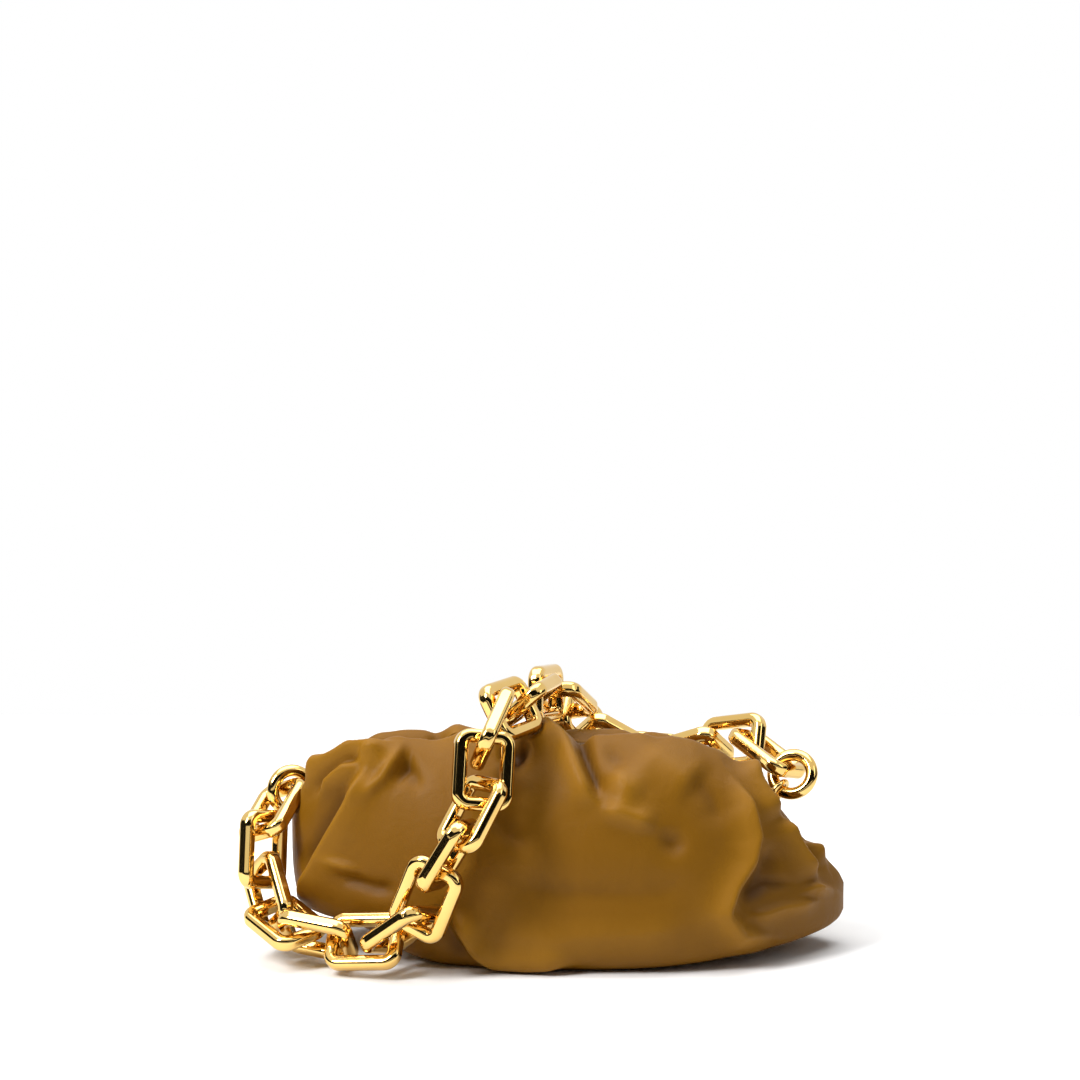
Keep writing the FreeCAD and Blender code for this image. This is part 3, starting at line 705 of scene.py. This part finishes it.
across = {"wave_type": "BANDS", "bands_direction": "X"}
upward = {"wave_type": "BANDS", "bands_direction": "Z"}
rib = tape.node("ShaderNodeTexWave", across, out=1, Vector=spot, Scale=220.0)
weft = tape.node("ShaderNodeTexWave", upward, out=1, Vector=spot, Scale=180.0)
tape.feed("Base Color", tape.mix(rib * 0.5 + weft * 0.5, TAPE_DARK, TAPE_LIGHT))
tape.feed("Normal", tape.node("ShaderNodeBump", Strength=0.4, Distance=0.0003, Height=rib + weft))
plated = Finish("plated_magnet", Metallic=1.0, Roughness=0.15)
spot = plated.node("ShaderNodeTexCoord", out=3)
scuff = plated.node("ShaderNodeTexNoise", Vector=spot, Scale=500.0, Detail=3.0)
plated.feed("Roughness", 0.10 + scuff * 0.15)
plated.feed("Base Color", plated.mix(scuff, PLATE_DARK, PLATE_LIGHT))
for names, finish in (
    (("front_jaw", "rear_jaw", "left_hinge_pin", "right_hinge_pin"), steel),
    (("front_jaw_sleeve", "rear_jaw_sleeve"), tape),
    (("front_magnets", "rear_magnets"), plated),
):
    for n in names:
        nodes[n].data.materials.clear()
        nodes[n].data.materials.append(finish.material)
print("frame dressed")

# %% [markdown]
# ## Studio
# The bag stands on white paper under large soft lights. Brighter lamps could make the background white, but they
# would bleach the leather too, so the world is white only to rays from the camera and from gloss, and gives a weak
# fill to the rest. The paper catches the shadow.

# %% Floor and world
REACH = 3.0
BACK = 0.7
FLOOR_DROP = 0.4 * MM
WORLD_FILL = 0.20
floor_mesh = bpy.data.meshes.new("floor")
floor_mesh.from_pydata([(-REACH, -REACH, 0), (REACH, -REACH, 0), (REACH, BACK, 0), (-REACH, BACK, 0)], [],
                       [(0, 1, 2, 3)])
floor = bpy.data.objects.new("floor", floor_mesh)
floor.location.z = -FLOOR_DROP
scene.collection.objects.link(floor)
paper = Finish("white_paper", Roughness=0.9, Specular_IOR_Level=0.1, Base_Color=(0.95, 0.95, 0.95, 1))
floor_mesh.materials.append(paper.material)

world = bpy.data.worlds.new("studio")
scene.world = world
world.use_nodes = True
sky = world.node_tree
background = sky.nodes["Background"]
background.inputs["Color"].default_value = (1, 1, 1, 1)
path = sky.nodes.new("ShaderNodeLightPath")
looks = Wire(sky, path.outputs["Is Camera Ray"])
for ray in ("Is Glossy Ray", "Is Transmission Ray"):
    looks = looks.larger(Wire(sky, path.outputs[ray]))
strength = WORLD_FILL + looks * (1.0 - WORLD_FILL)
sky.links.new(strength.socket, background.inputs["Strength"])
print("floor and world ready")

# %% [markdown]
# A wide box of light hangs over the bag, a narrow one at the left draws the folds, and a weak one at the right keeps
# the far end from going dark. Polished links show only what stands around them, so black cards outside the picture
# give them dark lines, as a jewellery photographer sets them.

# %% Lamps and cards
# Each lamp: name, place, what it points at, width and height in metres, and watts.
LAMPS = (
    ("top_box", (0.0, 0.16, 1.4), (0, 0.05, 0), (1.6, 1.2), 24.0),
    ("left_box", (-0.95, -0.75, 1.15), (0, 0, 0.06), (0.35, 0.7), 25.0),
    ("right_box", (1.3, -0.6, 0.8), (0, 0, 0.06), (0.35, 0.9), 2.0),
)
# Each card: name, then where it runs from and to in x, y and z, in metres.
CARDS = (
    ("card_front", (-2.6, 2.6), (-2.1, -2.1), (0.60, 2.2)),
    ("card_low", (-2.2, 2.2), (-1.9, -1.9), (0.0, 0.33)),
    ("card_left", (-1.5, -1.5), (-1.7, 0.5), (0.0, 0.75)),
    ("card_right", (1.5, 1.5), (-1.7, 0.5), (0.0, 0.75)),
)
for name, place, aim, (width, height), power in LAMPS:
    data = bpy.data.lights.new(name, "AREA")
    data.shape = "RECTANGLE"
    data.size, data.size_y = width, height
    data.energy = power
    lamp = bpy.data.objects.new(name, data)
    lamp.location = place
    lamp.rotation_euler = (Vector(aim) - Vector(place)).to_track_quat("-Z", "Y").to_euler()
    scene.collection.objects.link(lamp)
dull = Finish("black_card", Roughness=0.9, Specular_IOR_Level=0.1, Base_Color=(0.01, 0.01, 0.01, 1))
for name, (x0, x1), (y0, y1), (z0, z1) in CARDS:
    mesh = bpy.data.meshes.new(name)
    mesh.from_pydata([(x0, y0, z0), (x1, y1, z0), (x1, y1, z1), (x0, y0, z1)], [], [(0, 1, 2, 3)])
    mesh.materials.append(dull.material)
    card = bpy.data.objects.new(name, mesh)
    scene.collection.objects.link(card)
print("lamps", len(LAMPS), "cards", len(CARDS))

# %% [markdown]
# ## Finish
# The picture is shown through the Standard view transform.

# %% Finish
scene.view_settings.view_transform = "Standard"
